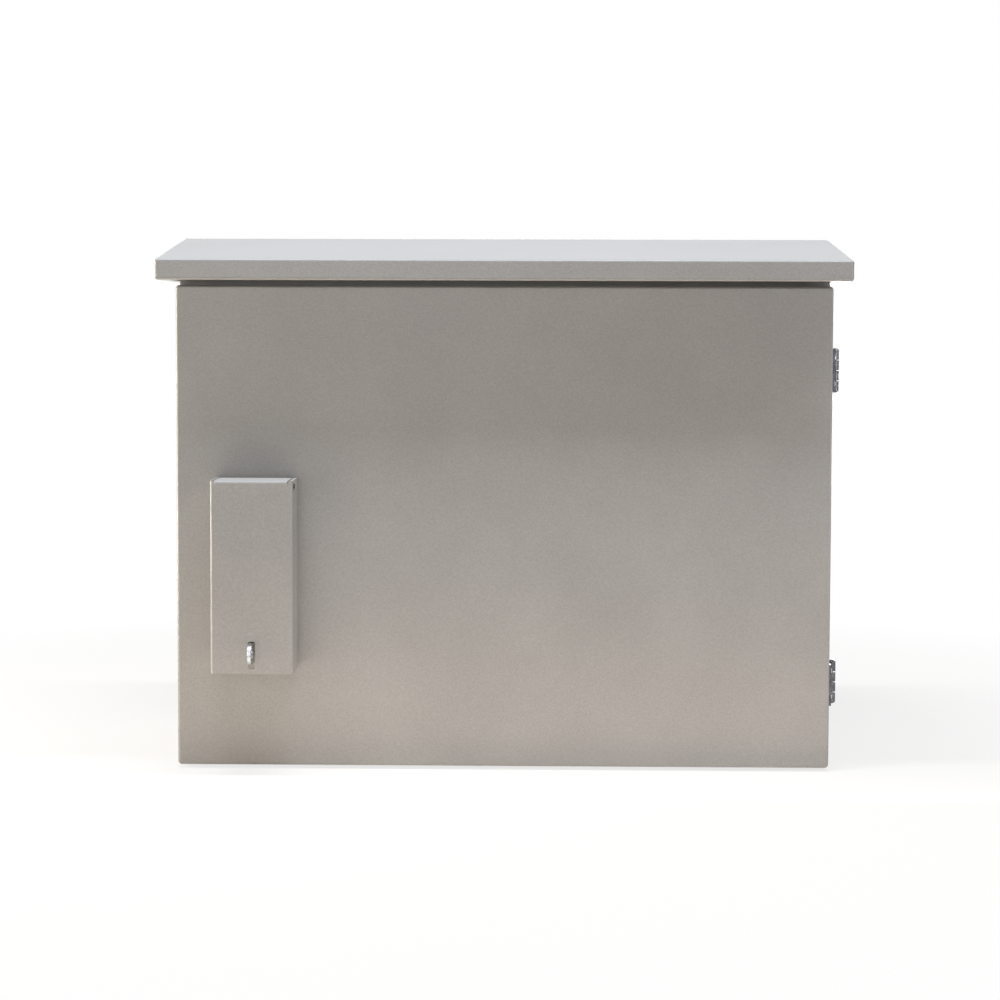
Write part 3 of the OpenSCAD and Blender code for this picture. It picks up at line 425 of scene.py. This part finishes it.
def threadTree():
    tree, given = newTree("rolledThread", Radius="Float", Length="Float", Pitch="Float", Turn="Vector",
                          Material="Material")
    turns = addNode(tree, "ShaderNodeMath", {0: given["Length"], 1: given["Pitch"]}, operation="DIVIDE")
    steps = addNode(tree, "ShaderNodeMath", {0: turns, 1: studs["stepsPerTurn"]}, operation="MULTIPLY")
    whole = addNode(tree, "ShaderNodeMath", {0: steps}, operation="CEIL")
    bar = addNode(tree, "GeometryNodeMeshCylinder", {
        "Vertices": studs["sides"], "Side Segments": whole,
        "Radius": given["Radius"], "Depth": given["Length"]})
    spot = addNode(tree, "GeometryNodeInputPosition")
    apart = addNode(tree, "ShaderNodeSeparateXYZ", {"Vector": spot}).outputs
    along = addNode(tree, "ShaderNodeMath", {0: given["Length"], 1: 0.5, 2: apart["Z"]},
                    operation="MULTIPLY_ADD")
    # a zigzag that climbs one pitch in each turn
    around = addNode(tree, "ShaderNodeMath", {0: apart["Y"], 1: apart["X"]}, operation="ARCTAN2")
    turn = addNode(tree, "ShaderNodeMath", {0: around, 1: 2 * math.pi}, operation="DIVIDE")
    climb = addNode(tree, "ShaderNodeMath", {0: along, 1: given["Pitch"]}, operation="DIVIDE")
    behind = addNode(tree, "ShaderNodeMath", {0: climb, 1: turn}, operation="SUBTRACT")
    zigzag = addNode(tree, "ShaderNodeMath", {0: behind, 1: 0.5}, operation="PINGPONG")
    scaled = addNode(tree, "ShaderNodeMath", {0: zigzag, 1: 2 * studs["depthShare"]}, operation="MULTIPLY")
    cut = addNode(tree, "ShaderNodeMath", {0: scaled, 1: given["Pitch"]}, operation="MULTIPLY")
    shank = addNode(tree, "ShaderNodeMath", {0: given["Length"], 1: studs["lead"]}, operation="SUBTRACT")
    tip = addNode(tree, "ShaderNodeMath", {0: along, 1: shank}, operation="SUBTRACT")
    depth = addNode(tree, "ShaderNodeMath", {0: cut, 1: tip}, operation="MAXIMUM")
    lost = addNode(tree, "ShaderNodeMath", {0: depth, 1: given["Radius"]}, operation="DIVIDE")
    left = addNode(tree, "ShaderNodeMath", {0: 1.0, 1: lost}, operation="SUBTRACT")
    narrow = addNode(tree, "ShaderNodeCombineXYZ", {"X": left, "Y": left})
    flat = addNode(tree, "ShaderNodeVectorMath", {0: spot, 1: narrow}, operation="MULTIPLY")
    upward = addNode(tree, "ShaderNodeCombineXYZ", {"Z": along})
    shaped = addNode(tree, "GeometryNodeSetPosition", {"Geometry": bar, "Position": flat, "Offset": upward})
    spread = addNode(tree, "GeometryNodeInstanceOnPoints", {
        "Points": given["Geometry"], "Instance": shaped, "Rotation": given["Turn"]})
    return endTree(tree, given, spread)


thread = threadTree()
for name, node, body, radius, pitch, facing in studs["rows"]:
    low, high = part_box(node)
    foot = high.y if facing < 0 else low.y
    feet = {(round(x, 5), foot, round(z, 5)) for x in (low.x + radius, high.x - radius)
            for z in (low.z + radius, high.z - radius)}
    grow(name, thread, sorted(feet), {
        "Radius": radius, "Length": high.y - low.y, "Pitch": pitch,
        "Turn": (math.radians(-90 * facing), 0, 0)}, body, "zinc_plate", [node])
print("threads rolled on the studs")


# Studio: pale floor and white surroundings, a strip above for the roof, a broad soft front, narrow boxes at
# both sides for the bends, and a warm bounce from the floor
studio = {
    "floor": "#efe8dd",
    "floorHalf": 6,
    "nearWhite": 0.75,          # share of plain white where the shadow lies
    "fade": (0.45, 1.0),        # distance over which the floor turns all white
    "surround": "#ffffff",
    "ambient": ("#f4f4f4", 0.02),
    "unmirrored": ("skirt",),   # a fill so near the door that its mirror image would show as a band
    # place, aim, width and height, power, tint
    "lamps": {
        "above": ((0.05, -0.47, 2.2), (0.05, -0.3, 0.25), (2.0, 0.15), 58, "#ecf3ff"),
        "front": ((-0.9, -3.3, 0.9), (0, -0.1, 0.25), (1.95, 1.4), 8.6, "#fafaff"),
        "left": ((-1.5, -0.17, 0.35), (0, -0.17, 0.3), (0.3, 0.9), 25, "#fff9ef"),
        "right": ((1.25, -1.1, 0.4), (0, -0.17, 0.3), (0.2, 0.85), 3.7, "#f4f4ff"),
        "behind": ((0.9, 2.4, 0.3), (0, 0, 0.25), (1.6, 0.5), 22, "#fbfaf8"),
        "low": ((0, -0.42, 0.01), (0, -0.42, 1), (1.5, 0.4), 1.05, "#ffe8d2"),
        "skirt": ((0, -0.27, 0.02), (0, -0.14, 0.03), (1.3, 0.03), 0.19, "#ffe8d2"),
    },
}


def whiteToCamera(tree, lit, white, share):
    # what the camera, mirrors and glass see is plain white; all other rays get the lit shader
    rays = addNode(tree, "ShaderNodeLightPath").outputs
    seen = rays["Is Camera Ray"]
    for kind in ("Is Glossy Ray", "Is Transmission Ray"):
        seen = addNode(tree, "ShaderNodeMath", {0: seen, 1: rays[kind]}, operation="MAXIMUM")
    amount = addNode(tree, "ShaderNodeMath", {0: seen, 1: share}, operation="MULTIPLY")
    return addNode(tree, "ShaderNodeMixShader", {0: amount, 1: lit, 2: white})


world = bpy.data.worlds.new("studioWorld")
world.use_nodes = True
tree = world.node_tree
tree.nodes.clear()
colour, strength = studio["ambient"]
soft = addNode(tree, "ShaderNodeBackground", {"Color": linear(colour), "Strength": strength})
white = addNode(tree, "ShaderNodeBackground", {"Color": linear(studio["surround"]), "Strength": 1.0})
addNode(tree, "ShaderNodeOutputWorld", {"Surface": whiteToCamera(tree, soft, white, 1.0)})
scene.world = world

half = studio["floorHalf"]
floorMesh = bpy.data.meshes.new("studioFloor")
floorMesh.from_pydata([(-half, -half, 0), (half, -half, 0), (half, half, 0), (-half, half, 0)], [],
                      [(0, 1, 2, 3)])
floor = bpy.data.objects.new("studioFloor", floorMesh)
scene.collection.objects.link(floor)
paper, tree, place = newMaterial("studioPaper")
matt = addNode(tree, "ShaderNodeBsdfDiffuse", {"Color": linear(studio["floor"])})
white = addNode(tree, "ShaderNodeEmission", {"Color": linear(studio["surround"]), "Strength": 1.0})
reach = addNode(tree, "ShaderNodeVectorMath", {0: place}, operation="LENGTH")
fade = addNode(tree, "ShaderNodeMapRange", {
    "Value": reach, "From Min": studio["fade"][0], "From Max": studio["fade"][1],
    "To Min": studio["nearWhite"]})
addNode(tree, "ShaderNodeOutputMaterial", {"Surface": whiteToCamera(tree, matt, white, fade)})
floorMesh.materials.append(paper)

for name, (place, aim, size, power, tint) in studio["lamps"].items():
    light = bpy.data.lights.new(name + "Softbox", "AREA")
    light.shape = "RECTANGLE"
    light.size, light.size_y = size
    light.energy = power
    light.color = linear(tint)[:3]
    holder = bpy.data.objects.new(name + "Softbox", light)
    holder.location = place
    holder.rotation_euler = (Vector(aim) - Vector(place)).to_track_quat("-Z", "Y").to_euler()
    holder.visible_camera = False
    holder.visible_glossy = name not in studio["unmirrored"]
    scene.collection.objects.link(holder)
print("studio lit")

# Camera: a little right of the middle and level with the canopy, looking slightly down
view = {
    "at": (0.0264, -2.0796, 0.4036),
    "pitch": 0.0558,
    "yaw": -0.0152,
    "roll": 0.0031,
    "focalPx": 2126.1,      # for a picture as wide as picturePx
    "picturePx": 1000,
    "sensorMm": 36.0,
    "shift": -0.05,
}
lens = bpy.data.cameras.new("camera")
lens.sensor_width = view["sensorMm"]
lens.lens = view["focalPx"] * view["sensorMm"] / view["picturePx"]
lens.shift_y = view["shift"]
camera = bpy.data.objects.new("camera", lens)
camera.location = view["at"]
turned = (Matrix.Rotation(-view["yaw"], 3, "Z") @ Matrix.Rotation(math.radians(90) - view["pitch"], 3, "X")
          @ Matrix.Rotation(view["roll"], 3, "Z"))
camera.rotation_euler = turned.to_euler()
scene.collection.objects.link(camera)
scene.camera = camera
